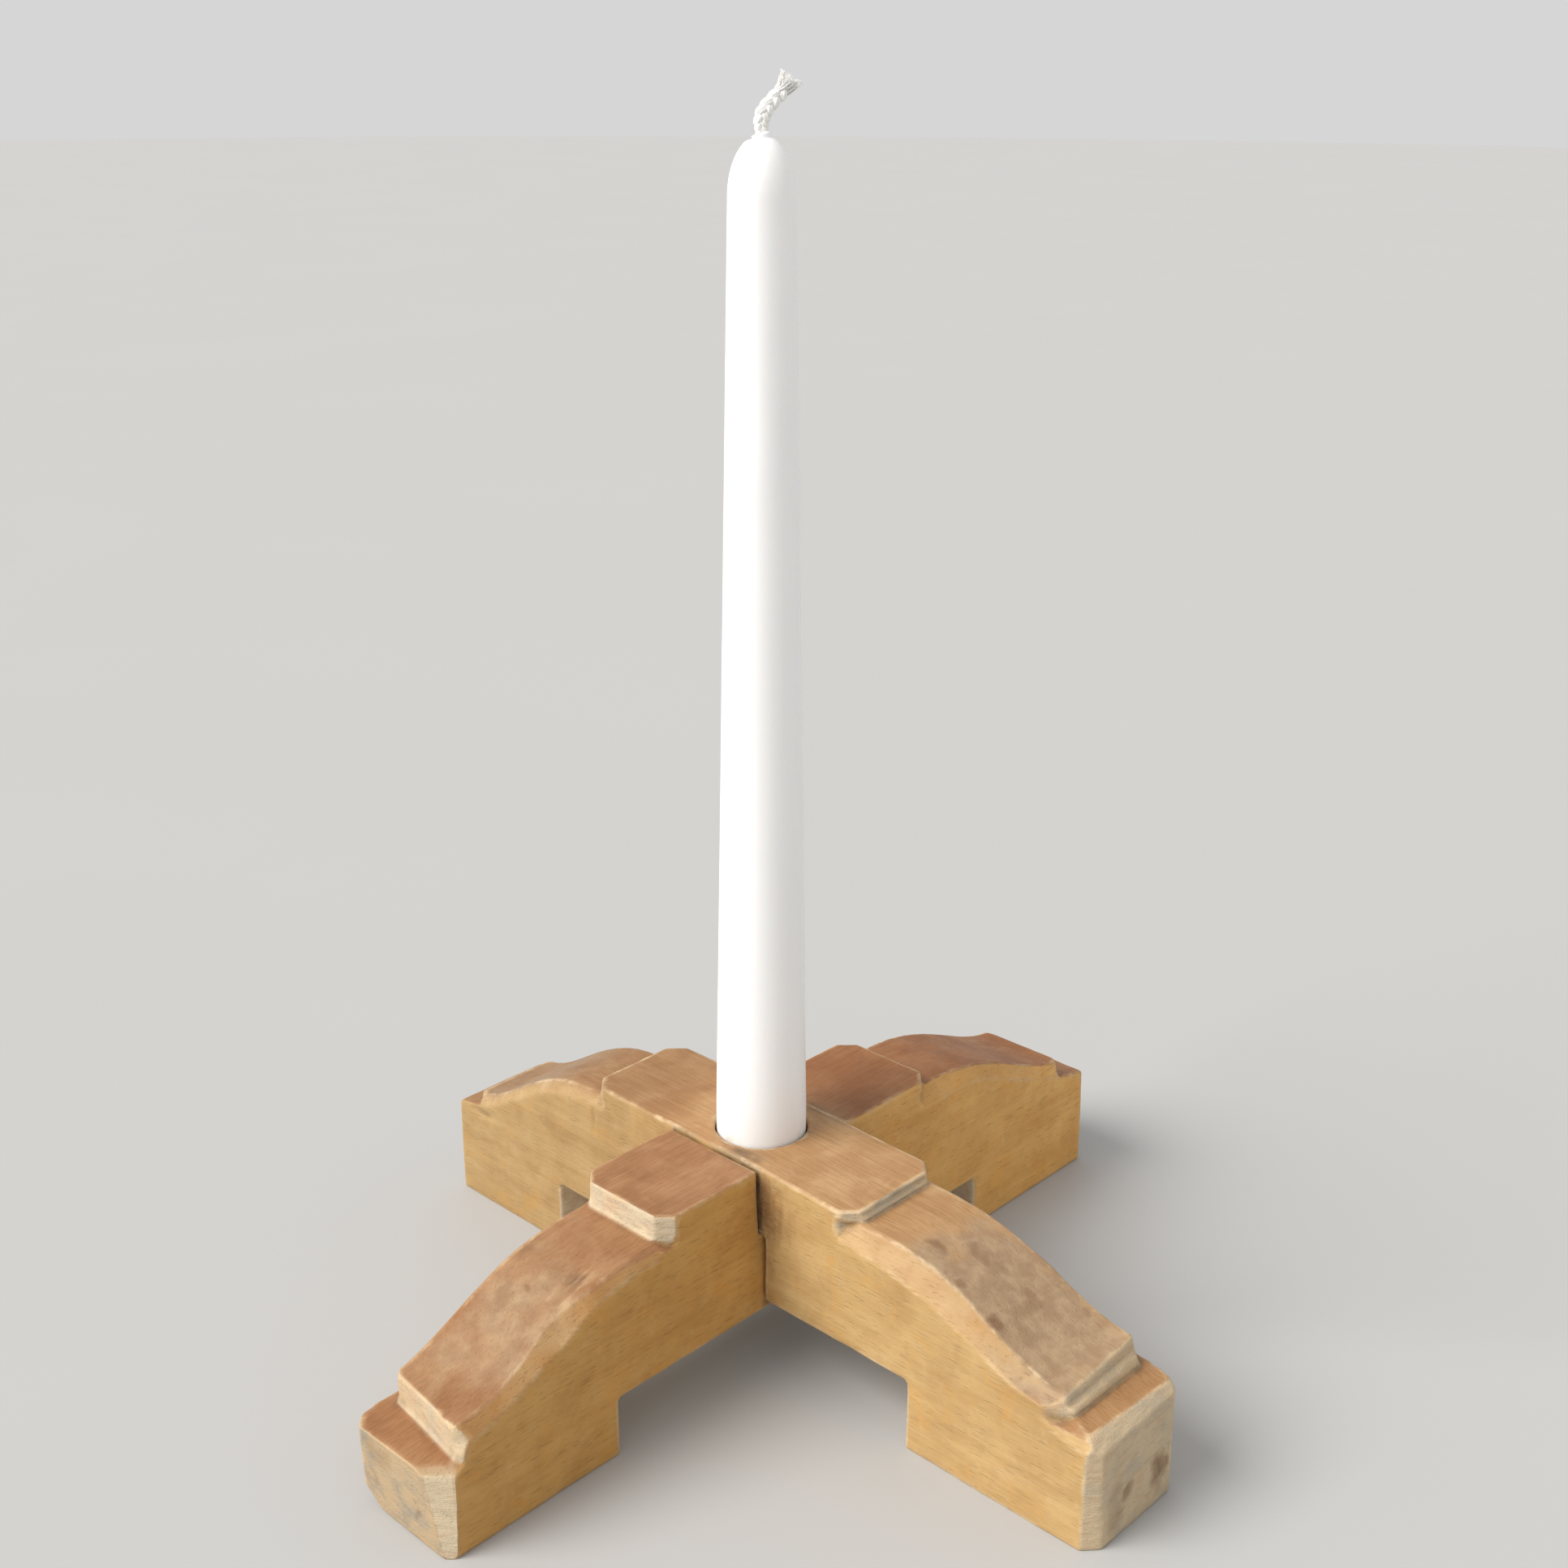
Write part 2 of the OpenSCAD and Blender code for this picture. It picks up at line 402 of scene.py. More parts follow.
def carve_back_right(local, normals):
    arm = BACK_RIGHT
    u, w, z = local.T.copy()
    lean_shoulder(local, u, z, 0.25)
    wander = along_arm(local, 8, 41)
    local = bevel(local, arm, 1, 3.0 + 0.4 * wander, 4.0 + 0.7 * wander)
    local = bevel(local, arm, -1, 2.6, 3.2 + 0.6 * wander)
    local = two_saw_cuts(local, normals, arm.slope_end, arm.ledge, arm.step_h, 0.3)
    lean_side(local, w, z, 1.1)
    # the end's top corners are worn round
    local = shave(local, (115.8, 14, 29.6), (0.45, 0.45, 0.77), rise(u, 108, 110))
    return shave(local, (115.8, -13.5, 29.6), (0.45, -0.45, 0.77), rise(u, 108, 110))


ARMS = {
    "front_right": (FRONT_RIGHT, carve_front_right),
    "back_left": (BACK_LEFT, carve_back_left),
    "front_left": (FRONT_LEFT, carve_front_left),
    "back_right": (BACK_RIGHT, carve_back_right),
}

# ---------- how each arm has aged


class Finish(NamedTuple):
    """How one arm's wood looks; shares run from 0 to about 1."""

    fading: float  # how faded the slope is
    age: float  # how dark the top has aged
    smear: float  # how dirty the side is next to the joint
    light: float  # how much the arm's colour is lightened: partly the wood's own tone, partly painted light, most on the back right arm
    pale_plate: float  # how pale the bare wood is at the plate's end
    pale_step: float  # ... on the second step
    pale_end: float  # ... on the end face
    bevel_finish: float  # how much finish the bevels kept
    bevel_rub: float  # how much the bevels are rubbed
    pale_corner: float = 0.0  # how pale the cut corner of the end face is
    plain_side: float = 0.0  # how far the side's edges are spared from the pale rubbed edge and its painted highlight
    facet_drop: float = 4.4  # how far the plate's bare wood runs down its cut corner, in mm
    faded_to_step: bool = True  # whether the fading goes on to the second step
    torn_at: tuple = ()  # where pale torn fibres lie: distance out, offset to the front


FINISH = {
    "front_right": Finish(
        fading=1.25, age=0.0, smear=0.85, light=0.42,
        pale_plate=0.50, pale_step=0.45, pale_end=0.52,
        bevel_finish=0.55, bevel_rub=0.15),
    "back_left": Finish(
        fading=0.60, age=0.40, smear=0.25, light=0.28,
        pale_plate=0.40, pale_step=0.40, pale_end=0.45,
        bevel_finish=0.2, bevel_rub=0.3, plain_side=0.75),
    "front_left": Finish(
        fading=0.62, age=0.25, smear=0.12, light=0.50,
        pale_plate=0.68, pale_step=0.55, pale_end=0.16, pale_corner=0.72,
        bevel_finish=0.55, bevel_rub=0.15,
        facet_drop=1.4, faded_to_step=False, torn_at=(69, 7.5)),
    # the back right arm's strong lightening is painted light, standing in for light from the right
    "back_right": Finish(
        fading=0.08, age=0.80, smear=0.20, light=0.86,
        pale_plate=0.50, pale_step=0.40, pale_end=0.50,
        bevel_finish=0.2, bevel_rub=0.3),
}
# the feet's inner faces are made fully pale: pale bare wood and painted light under the arches
PALE_FOOT = 1.0
PALE_UNDERSIDE = 0.5

HOLE_RADIUS = 11.3  # where the dark ring of dirt and painted shade around the candle lies thickest

# How much each beam's colour is lightened at the crossing; on the lower beam it is painted light
# against the shade of the joint's corner
CROSSING_LIGHT = {"upper_beam": 0.42, "lower_beam": 0.62}

# Stains on the slopes: distance out, offset to the front, spread out and across, strength
STAINS = {
    "front_right": [
        (60, 5.1, 2.2, 1.5, 1.0), (68.4, -0.7, 3, 1.7, 0.7), (70.3, 9.5, 1.4, 1.2, 0.7),
        (80.7, 10.9, 1.7, 1.3, 1.0), (81.3, -1.4, 2.4, 2, 0.6), (73.2, -2.8, 2.4, 1.6, 0.5),
        (91, -9.9, 0.9, 0.8, 0.6), (90.3, 11.9, 1.2, 0.9, 0.7), (86, 6, 2.6, 1.4, 0.35),
    ],
    "front_left": [
        (65.7, 6.2, 2.2, 2, 0.9), (73.6, -1.1, 0.9, 0.8, 0.9), (77.6, -5.4, 2.8, 1.8, 0.5),
        (65.2, -10.9, 3, 1.6, 0.6), (69, 2, 3, 2, 0.3), (88, 7, 5, 2, 0.25),
    ],
    "back_left": [(64, 3, 2.4, 1.6, 0.5), (79, -4, 1.8, 1.4, 0.6), (87, 5, 1.2, 1, 0.5)],
    "back_right": [(70, 2, 2.6, 1.6, 0.5), (90, 6, 1.6, 1.2, 0.6), (97, -5, 1.3, 1.1, 0.5)],
}

# Knots and stains on the sawn end faces: offset to the front, height, spreads, strength
END_KNOTS = {
    "front_right": [
        (-8.8, 9, 3.0, 4.4, 1.0), (3.0, 9.6, 1.9, 2.1, 0.8), (7.8, 7.5, 2.2, 5.5, 0.45),
    ],
    "front_left": [(5.9, 9, 0.8, 2, 0.7), (-6, 18, 4, 3, 0.35), (-10, 10, 1, 3, 0.4)],
    "back_left": [(2, 12, 1.4, 1.8, 0.6), (-6, 20, 2.6, 1.6, 0.4)],
    "back_right": [(-4, 14, 1.5, 2.2, 0.6), (7, 21, 2.8, 1.5, 0.4)],
}


def spots(across, along, marks, edge):
    """Soft-edged stains: how much of a stain lies at each point."""
    total = np.zeros(len(across))
    for middle_across, middle_along, spread_across, spread_along, strength in marks:
        far = ((across - middle_across) / spread_across) ** 2
        far = far + ((along - middle_along) / spread_along) ** 2
        total = np.maximum(total, strength * (1 - rise(far + edge, 0.1, 2.2)))
    return total


def shaken(local, size, seeds):
    """A noise vector at each point, which makes outlines wander."""
    return np.column_stack([noise(local, size, seed) for seed in seeds])


class Seen:
    """The points of a beam and the way they face, seen from one arm."""

    def __init__(self, side, points, normals, patchy):
        self.side = side
        self.arm, _ = ARMS[side]
        self.finish = FINISH[side]
        self.patchy = patchy
        self.local = self.arm.local(points)
        self.u, self.w, self.z = self.local.T
        self.out, self.near, self.up = self.arm.turned(normals).T

    def slope_part(self):
        """How far each point belongs to the slope."""
        arm = self.arm
        part = rise(self.u, arm.plate, arm.plate + 2) * rise(self.up, 0.45, 0.75)
        return part * rise(self.z, arm.ledge + 1.5, arm.ledge + 3)

    def end_part(self):
        """How far each point belongs to the end face."""
        return rise(self.out, 0.35, 0.6) * rise(self.u, self.arm.reach - 7, self.arm.reach - 5)

    def plate_part(self):
        """How far each point belongs to the upright face at the plate's end."""
        arm = self.arm
        facet = self.finish.facet_drop * rise(np.abs(self.near), 0.4, 0.6)
        part = rise(self.out, 0.4, 0.65) * rise(self.z + facet, arm.slope_top - 1, arm.slope_top)
        return part * (self.u < arm.plate + 2)

    def step_part(self):
        """How far each point belongs to the upright face of the second step."""
        arm = self.arm
        part = rise(self.out, 0.4, 0.65) * hump(self.u, arm.slope_end + 1, 4)
        return part * rise(self.z, arm.ledge - 0.5, arm.ledge + 0.5)


def bare_masks(at):
    """Where the bare wood shows, and how pale it is; the feet's inner faces are painted fully pale,
    which also paints in light under the arches.
    """
    finish = at.finish
    bare = [
        (at.plate_part(), finish.pale_plate),
        (at.step_part(), finish.pale_step),
        (at.end_part(), finish.pale_end),
        # the feet's inner faces: pale sawn wood and painted light
        (rise(-at.out, 0.4, 0.7) * (at.z < at.arm.arch + 1), PALE_FOOT),
        (rise(-at.up, 0.5, 0.8), PALE_UNDERSIDE),
    ]
    sawn = np.maximum.reduce([part for part, _ in bare])
    pale = sum(part * value for part, value in bare)
    pale = pale / np.maximum(sum(part for part, _ in bare), 1e-3)
    corner = finish.pale_corner * at.end_part() * rise(at.near, 0.4, 0.6)
    return {"sawn": sawn, "pale": np.maximum(pale, corner)}


def top_masks(at):
    """Where the handled top shows, where bevels are rubbed, and which edges get no pale rubbed edge
    and painted highlight.
    """
    arm, finish = at.arm, at.finish
    # the bevels of the slope are partly finished like the top
    bevelled = rise(np.abs(at.near), 0.35, 0.55) * (1 - rise(np.abs(at.near), 0.92, 0.98))
    bevelled = bevelled * (at.u > arm.plate - 3)
    bevelled = bevelled * rise(at.z, arm.slope(at.u) - 8, arm.slope(at.u) - 5)
    # no pale rubbed edge and no painted highlight where the bevel runs out under the plate's corner
    run_out = hump(at.u, arm.plate - 0.5, 3.2) * (at.z < arm.slope_top + 0.3)
    run_out = run_out * rise(at.near, 0.2, 0.4)
    side = finish.plain_side * (at.u > arm.plate) * (at.z < arm.slope(at.u) - 0.5)
    return {
        "top": np.maximum(rise(at.up, 0.52, 0.85), finish.bevel_finish * bevelled),
        "rim": finish.bevel_rub * bevelled * rise(at.patchy, -0.6, 0.8),
        "plain": np.maximum(run_out, side),
    }


def age_masks(at, crossing_light):
    """How much the wood's colour is lightened (partly painted light), how faded its slope and how
    dark its top.
    """
    arm, finish = at.arm, at.finish
    middle = hump(at.u, (arm.plate + arm.slope_end) / 2 + 6, 22)
    if finish.faded_to_step:
        middle = np.maximum(middle, 0.8 * (at.u > arm.plate + 30))
        middle = middle * rise(at.u, arm.plate + 2, arm.plate + 20)
    far_edge = 1 - 0.6 * rise(-at.w, 8, 14)
    ledge = rise(at.up, 0.5, 0.8) * (at.u > arm.slope_end) * (at.z < arm.ledge + 2) * (at.z > 5)
    return {
        # lightening, partly painted light, from the crossing's value out to the arm's
        "light": crossing_light + (finish.light - crossing_light) * rise(at.u, 12, 34),
        "bleach": finish.fading * at.slope_part() * far_edge * (middle + 0.35 * at.patchy),
        "deep": (finish.age + (0.4 - finish.age) * ledge) * rise(at.u, 12, 24),
    }


def dirt_masks(at):
    """Stains and knots, the darkened side next to the crossing, and torn fibres."""
    arm, finish, local = at.arm, at.finish, at.local
    warped = local + 1.5 * shaken(local, 3.2, (63, 64, 65))
    warped = warped + 0.6 * shaken(local, 1.3, (74, 75, 76))
    stain = spots(warped[:, 0], warped[:, 1], STAINS[at.side], 0.4 * at.patchy)
    stain = at.slope_part() * stain
    knots = spots(warped[:, 1], warped[:, 2], END_KNOTS[at.side], 0.3 * at.patchy)
    knots = at.end_part() * knots
    # hands and the joint have darkened the side next to the crossing, in upright streaks
    streak = 0.5 * rough_noise(local, (2.2, 9, 22), 66) + rough_noise(local, (5, 9, 11), 67)
    by_joint = finish.smear * rise(at.near, 0.5, 0.8) * rise(at.u, 13, 15)
    by_joint = by_joint * (1 - rise(at.u, 16, 32)) * rise(at.z, 2, 36) * rise(streak, -0.5, 0.9)
    # dirt lies on the upper half of the plate's end
    half_way = (arm.slope_top + TOP_H) / 2
    grime_and_shade = 0.6 * finish.smear * at.plate_part() * rise(at.z, half_way - 0.4, half_way + 0.4)
    grime_and_shade = grime_and_shade * rise(noise(local, (9, 3, 0.7), 68), -0.6, 0.5)
    torn = 0 * at.u
    if finish.torn_at:
        far, across = finish.torn_at
        torn = hump(at.u, far, 6) * hump(at.w, across, 3) * at.slope_part()
        torn = torn * rise(noise(local, (9, 0.8, 3), 69), 0.0, 0.5)
    return {
        "stain": np.maximum.reduce([stain, knots, 1.9 * by_joint]),
        "grime_and_shade": grime_and_shade,
        "torn": torn,
    }


def tool_marks(at, sawn):
    """Chisel and saw marks as real relief, in millimetres."""
    sweep = noise(at.local, (22, 7, 7), 71)
    saw = np.sin(2.4 * at.z + 0.9 * at.w + 2 * noise(at.local, 9, 72))
    saw = saw * rise(noise(at.local, 6, 73), -0.3, 0.5)
    return 0.12 * sweep * at.slope_part() + 0.045 * saw * sawn


# ---------- the beams


def hand_worn(points, edges, normals):
    """Points with their arrises worn, in some places more than in others.

    Also returns how far each point stood out as a narrow and as a broad crest.
    """
    crisp = averaged(points, edges, 1)
    worn = averaged(crisp, edges, 7)
    broad = averaged(worn, edges, 26)
    narrow_crest = ((crisp - worn) * normals).sum(axis=1)
    broad_crest = ((crisp - broad) * normals).sum(axis=1)
    blend = 0.05 + 0.7 * rise(rough_noise(points, 15, 51), 0.0, 0.8)
    return crisp + (worn - crisp) * blend[:, None], narrow_crest, broad_crest


def crossing_grime_and_shade(points, crest, patchy):
    """Dirt and painted shade: painted shade with some dirt in the joint's gap, around the candle's
    foot and in inner corners, and dirt smudges on the crossing's edges.
    """
    flat = points[:, :2] - AXIS
    x, y = np.abs(flat).T
    z = points[:, 2]
    upper = rise(z, LAP_H - 0.4, LAP_H + 0.4)
    # the lower beam's front side leans inwards, so the joint ends further in there
    edge = HALF_W - 1.3 * rise(z, LAP_H, TOP_H) * (flat[:, 0] > 0)
    # painted shade: a dark line along the joint's gap
    joint = upper * hump(y, HALF_W, 0.45) * (1 - rise(x, edge - 0.3, edge + 0.3))
    low_joint = (1 - upper) * hump(x, HALF_W, 0.4)
    low_joint = low_joint * (1 - rise(y, HALF_W - 0.2, HALF_W + 0.3))
    joint = np.maximum(joint, low_joint)
    hole = hump(np.hypot(x, y), HOLE_RADIUS, 0.9) * (z > LAP_H)
    front_corner = hump(flat[:, 0], 7, 7) * hump(flat[:, 1], -13.5, 3.2) * rise(z, 50, 52)
    back_seam = hump(flat[:, 0], 3, 11) * hump(flat[:, 1], 15, 2.4) * rise(z, 50, 52)
    smudge = np.maximum(front_corner, 0.8 * back_seam) * rise(patchy, -0.5, 0.6)
    # the joint, the inner corners and the ring round the candle are painted shade with some dirt;
    # the smudges are dirt
    return np.maximum.reduce([
        0.85 * joint * rise(patchy, -0.8, 0.3),
        0.5 * rise(-crest, 0.08, 0.34) * rise(patchy, -0.7, 0.6),
        0.65 * hole * rise(patchy, -0.6, 0.4),
        0.75 * smudge,
    ])


def beam_masks(node, sides, points, normals, patchy):
    """The masks of both arms of one beam, joined, and the relief of the tool marks."""
    masks = {}
    for side in sides:
        at = Seen(side, points, normals, patchy)
        own = at.u > 0
        found = {**bare_masks(at), **top_masks(at), **dirt_masks(at)}
        found.update(age_masks(at, CROSSING_LIGHT[node]))
        found["marks"] = tool_marks(at, found["sawn"])
        for key, values in found.items():
            masks.setdefault(key, np.zeros(len(points)))[own] = values[own]
    return masks


def carved_beam(node, sides, low, high, slot, timber):
    """Sculpt one beam from its CAD solid and keep where it is sawn, worn, stained and dirty, and
    where shade and light are painted into its colour.
    """
    name = node + "_carved"
    mesh = fine_copy(node, name, CELL)
    points = points_of(mesh)
    normals = normals_of(mesh)
    for side in sides:
        arm, carve = ARMS[side]
        local = arm.local(points)
        own = local[:, 0] > 0
        points[own] = arm.world(carve(local[own], arm.turned(normals[own])))
    points, narrow_crest, broad_crest = hand_worn(points, edges_of(mesh), normals)
    set_points(mesh, points)
    normals = normals_of(mesh)

    patchy = rough_noise(points, 6, 61)
    masks = beam_masks(node, sides, points, normals, patchy)
    rim, plain, torn, marks = (masks.pop(key) for key in ("rim", "plain", "torn", "marks"))
    # pale rubbed wood on every narrow crest, which also paints a highlight along the edges
    rubbed_and_highlit = rise(narrow_crest, 0.045, 0.13) * rise(patchy, -0.8, 0.4) * (1 - plain)
    masks["arris"] = np.maximum.reduce([rubbed_and_highlit, rim, torn])
    # add the painted shade of the joint, the hollows and the candle's foot to the dirt
    masks["grime_and_shade"] = np.maximum(masks["grime_and_shade"], crossing_grime_and_shade(points, broad_crest, patchy))

    waves = 0.10 * rough_noise(points, (16, 16, 12), 81) + 0.03 * noise(points, 3, 82)
    points = points + normals * (marks + waves)[:, None]
    points = np.clip(points, low, high)
    # the feet stand flat on the table
    points[:, 2] = np.where(points[:, 2] < 0.25, 0, points[:, 2])
    set_points(mesh, points)
    for key, values in masks.items():
        set_mask(mesh, key, values)
    mesh.materials.append(wood(slot, timber))
    return new_piece(name, mesh, node, slot, node)


# ---------- shader helpers


class Shade:
    """Short calls that add shader nodes to one material."""

    def __init__(self, name):
        self.material = bpy.data.materials.new(name)
        self.material.use_nodes = True
        self.tree = self.material.node_tree
        self.tree.nodes.clear()
        self.output = self.tree.nodes.new("ShaderNodeOutputMaterial")
        self.bsdf = self.tree.nodes.new("ShaderNodeBsdfPrincipled")
        self.tree.links.new(self.bsdf.outputs[0], self.output.inputs[0])

    def put(self, socket, value):
        """Link a socket, or set it where the value is a plain number or colour."""
        if isinstance(value, bpy.types.NodeSocket):
            self.tree.links.new(value, socket)
        elif isinstance(value, tuple) and len(value) == 3 and socket.type == "RGBA":
            socket.default_value = (*value, 1)
        else:
            socket.default_value = value

    def set(self, name, value):
        """Set or link one input of the surface."""
        self.put(self.bsdf.inputs[name], value)

    def place(self, stretch=(1, 1, 1)):
        """The object's own coordinates in millimetres, divided by the stretch on each axis."""
        spot = self.tree.nodes.new("ShaderNodeTexCoord")
        scaled = self.tree.nodes.new("ShaderNodeVectorMath")
        scaled.operation = "MULTIPLY"
        self.put(scaled.inputs[0], spot.outputs["Object"])
        scaled.inputs[1].default_value = [1 / MM / part for part in stretch]
        return scaled.outputs[0]

    def noise(self, place, size, detail=2.0, roughness=0.5, warp=0.0):
        """Noise from 0 to 1 in lumps of the given size in millimetres."""
        node = self.tree.nodes.new("ShaderNodeTexNoise")
        self.put(node.inputs["Vector"], place)
        settings = {"Scale": 1 / size, "Detail": detail, "Roughness": roughness, "Distortion": warp}
        for name, value in settings.items():
            node.inputs[name].default_value = value
        return node.outputs[0]

    def mask(self, name):
        node = self.tree.nodes.new("ShaderNodeAttribute")
        node.attribute_name = name
        return node.outputs["Fac"]

    def math(self, operation, first, second=0.5):
        node = self.tree.nodes.new("ShaderNodeMath")
        node.operation = operation
        self.put(node.inputs[0], first)
        self.put(node.inputs[1], second)
        return node.outputs[0]

    def times(self, first, second):
        return self.math("MULTIPLY", first, second)

    def span(self, value, low, high, to_low=0.0, to_high=1.0):
        """Map low..high to to_low..to_high with soft ends."""
        node = self.tree.nodes.new("ShaderNodeMapRange")
        node.interpolation_type = "SMOOTHSTEP"
        self.put(node.inputs["Value"], value)
        settings = {"From Min": low, "From Max": high, "To Min": to_low, "To Max": to_high}
        for name, value in settings.items():
            node.inputs[name].default_value = value
        return node.outputs["Result"]

    def mix(self, part, first, second, blend="MIX"):
        node = self.tree.nodes.new("ShaderNodeMix")
        node.data_type = "RGBA"
        node.blend_type = blend
        self.put(node.inputs[0], part)
        self.put(node.inputs[6], first)
        self.put(node.inputs[7], second)
        return node.outputs[2]

    def tinted(self, colour, tint):
        """A colour multiplied by a tint."""
        return self.mix(1.0, colour, tint, "MULTIPLY")

    def lit(self, colour, factor):
        """A colour made lighter or darker by a factor."""
        node = self.tree.nodes.new("ShaderNodeVectorMath")
        node.operation = "SCALE"
        self.put(node.inputs[0], colour)
        self.put(node.inputs["Scale"], factor)
        return node.outputs[0]

    def bump(self, height, depth, strength=1.0):
        """Relief of the given depth in millimetres."""
        node = self.tree.nodes.new("ShaderNodeBump")
        node.inputs["Strength"].default_value = strength
        node.inputs["Distance"].default_value = depth * MM
        self.put(node.inputs["Height"], height)
        return node.outputs[0]


def scaled(colour, *parts):
    return tuple(channel * part for channel, part in zip(colour, parts))


class Timber(NamedTuple):
    """The colours of one beam's wood."""

    along: int  # axis of the grain
    side: tuple  # finished sides
    dark_side: tuple  # the darker grain in them
    top: tuple  # handled tops
    worn: tuple  # faded slopes
    edge: tuple  # rubbed edges, with a painted highlight along them
    pores: float  # how much the pores show on the sides


class Grain:
    """The patterns that the layers of one wood share."""

    def __init__(self, s, along):
        even = s.place()
        banded, fibrous, dashed = (
            s.place([length if axis == along else 1 for axis in range(3)])
            for length in (16, 30, 9))
        self.bands = s.noise(banded, 4.5, 3, 0.55, 0.6)
        self.fibre = s.noise(fibrous, 0.55, 2, 0.6, 0.2)
        self.dashes = s.span(s.noise(dashed, 0.42, 1, 0.5), 0.60, 0.76)
        self.cloud = s.noise(even, 12, 4, 0.6, 0.4)
        self.blotch = s.noise(even, 4.2, 3, 0.6, 0.3)
        self.speck = s.span(s.noise(even, 1.1, 2, 0.6), 0.66, 0.78)
        self.patch = s.noise(even, 9, 3, 0.6, 0.5)
        self.saw = s.noise(s.place((5, 5, 0.9)), 1.0, 3, 0.65, 0.5)


PORE = (0.19, 0.085, 0.03)
FADED_FIBRE = (0.32, 0.21, 0.13)
STAIN = (0.175, 0.083, 0.036)
# near black for dirt and for painted shade in the joint and hollows
GRIME_AND_SHADE = (0.05, 0.03, 0.022)


def side_colour(s, grain, timber):
    """Finished sides with long grain."""
    side, dark = timber.side, timber.dark_side
    tone = s.math("ADD", s.times(grain.bands, 0.38), s.times(grain.fibre, 0.24))
    tone = s.math("ADD", tone, s.times(grain.cloud, 0.55))
    colour = s.mix(s.span(tone, 0.28, 0.86), dark, side)
    colour = s.mix(s.times(grain.dashes, timber.pores), colour, PORE)
    darker = s.times(s.span(grain.blotch, 0.55, 0.78), 0.16)
    colour = s.mix(darker, colour, scaled(dark, 0.72, 0.62, 0.5))
    lighter = s.times(s.span(grain.blotch, 0.46, 0.24), 0.22)
    colour = s.mix(lighter, colour, scaled(side, 1.08, 1.22, 1.6))
    orange = s.times(s.span(grain.patch, 0.52, 0.72), 0.5)
    colour = s.mix(orange, colour, scaled(side, 0.98, 0.80, 0.5))
    # lighter or darker by the light mask, which is partly painted light
    return s.lit(colour, s.span(s.mask("light"), 0.0, 1.0, 0.60, 1.50))


def top_colour(s, grain, timber):
    """Handled tops: redder, and faded where the finish has gone."""
    top = s.mix(s.mask("deep"), timber.top, scaled(timber.top, 0.70, 0.53, 0.38))
    red = s.mix(s.span(grain.cloud, 0.36, 0.66), s.tinted(top, (0.82, 0.74, 0.66)), top)
    fibre = s.times(s.span(grain.fibre, 0.35, 0.7), 0.5)
    red = s.mix(fibre, red, s.tinted(red, (0.74, 0.66, 0.58)))
    bands = s.times(s.span(grain.bands, 0.5, 0.75), 0.4)
    red = s.mix(bands, red, s.tinted(red, (0.80, 0.70, 0.60)))
    worn = timber.worn
    faded = s.mix(s.span(grain.blotch, 0.32, 0.70), scaled(worn, 0.76, 0.70, 0.68), worn)
    faded = s.mix(s.times(s.span(grain.fibre, 0.4, 0.7), 0.3), faded, FADED_FIBRE)
    uneven = s.times(s.math("SUBTRACT", grain.cloud, 0.5), 0.8)
    bleach = s.span(s.math("ADD", s.mask("bleach"), uneven), 0.05, 0.95)
    colour = s.mix(bleach, red, faded)
    # lighter or darker by the light mask, which is partly painted light
    return s.lit(colour, s.span(s.mask("light"), 0.10, 0.42, 0.60, 1.0))


def sawn_colour(s, grain):
    """Bare sawn faces: pale tan and grey, with saw lines and end pores."""
    raw = s.mix(s.span(grain.cloud, 0.34, 0.56), (0.33, 0.285, 0.22), (0.50, 0.365, 0.215))
    raw = s.mix(s.times(s.span(grain.blotch, 0.5, 0.72), 0.5), raw, (0.54, 0.36, 0.19))
    fresh = s.mix(s.span(grain.blotch, 0.45, 0.75), (0.76, 0.63, 0.43), (0.70, 0.50, 0.34))
    raw = s.mix(s.span(s.mask("pale"), 0.2, 1.0), raw, fresh)
    raw = s.mix(s.times(s.span(grain.saw, 0.45, 0.72), 0.30), raw, (0.33, 0.25, 0.17))
    return s.mix(s.times(grain.speck, 0.25), raw, (0.22, 0.14, 0.09))


def wood_relief(s, grain):
    """Fine fibres and pores, and saw lines on the bare faces."""
    relief = s.math("SUBTRACT", s.times(grain.fibre, 0.5), s.times(grain.dashes, 0.6))
    saw_share = s.math("ADD", s.times(s.mask("sawn"), 1.2), 0.1)
    relief = s.math("ADD", relief, s.times(grain.saw, saw_share))
    relief = s.math("ADD", relief, s.times(grain.blotch, 0.4))
    return s.bump(relief, 0.18, 0.8)


def wood(name, timber):
    """Oiled, hand-carved wood with its grain along one axis."""
    s = Shade(name)
    grain = Grain(s, timber.along)
    colour = s.mix(s.mask("top"), side_colour(s, grain, timber), top_colour(s, grain, timber))
    colour = s.mix(s.mask("sawn"), colour, sawn_colour(s, grain))
    stain = s.times(s.mask("stain"), s.span(grain.blotch, 0.25, 0.6, 0.42, 0.78))
    colour = s.mix(stain, colour, STAIN)
    # dirt and painted shade, near black
    grime_and_shade = s.times(s.mask("grime_and_shade"), s.span(grain.blotch, 0.2, 0.7, 0.5, 1.0))
    colour = s.mix(grime_and_shade, colour, GRIME_AND_SHADE)
    # pale rubbed edges with a painted highlight along them
    rub_and_highlight = s.times(s.mask("arris"), s.span(grain.blotch, 0.36, 0.62, 0.12, 0.62))
    s.set("Base Color", s.mix(rub_and_highlight, colour, timber.edge))
    rough = s.math("ADD", s.span(grain.blotch, 0.3, 0.7, 0.48, 0.62), s.times(s.mask("sawn"), 0.25))
    s.set("Roughness", s.math("MINIMUM", rough, 0.9))
    s.set("Normal", wood_relief(s, grain))
    s.set("Specular IOR Level", 0.35)
    return s.material


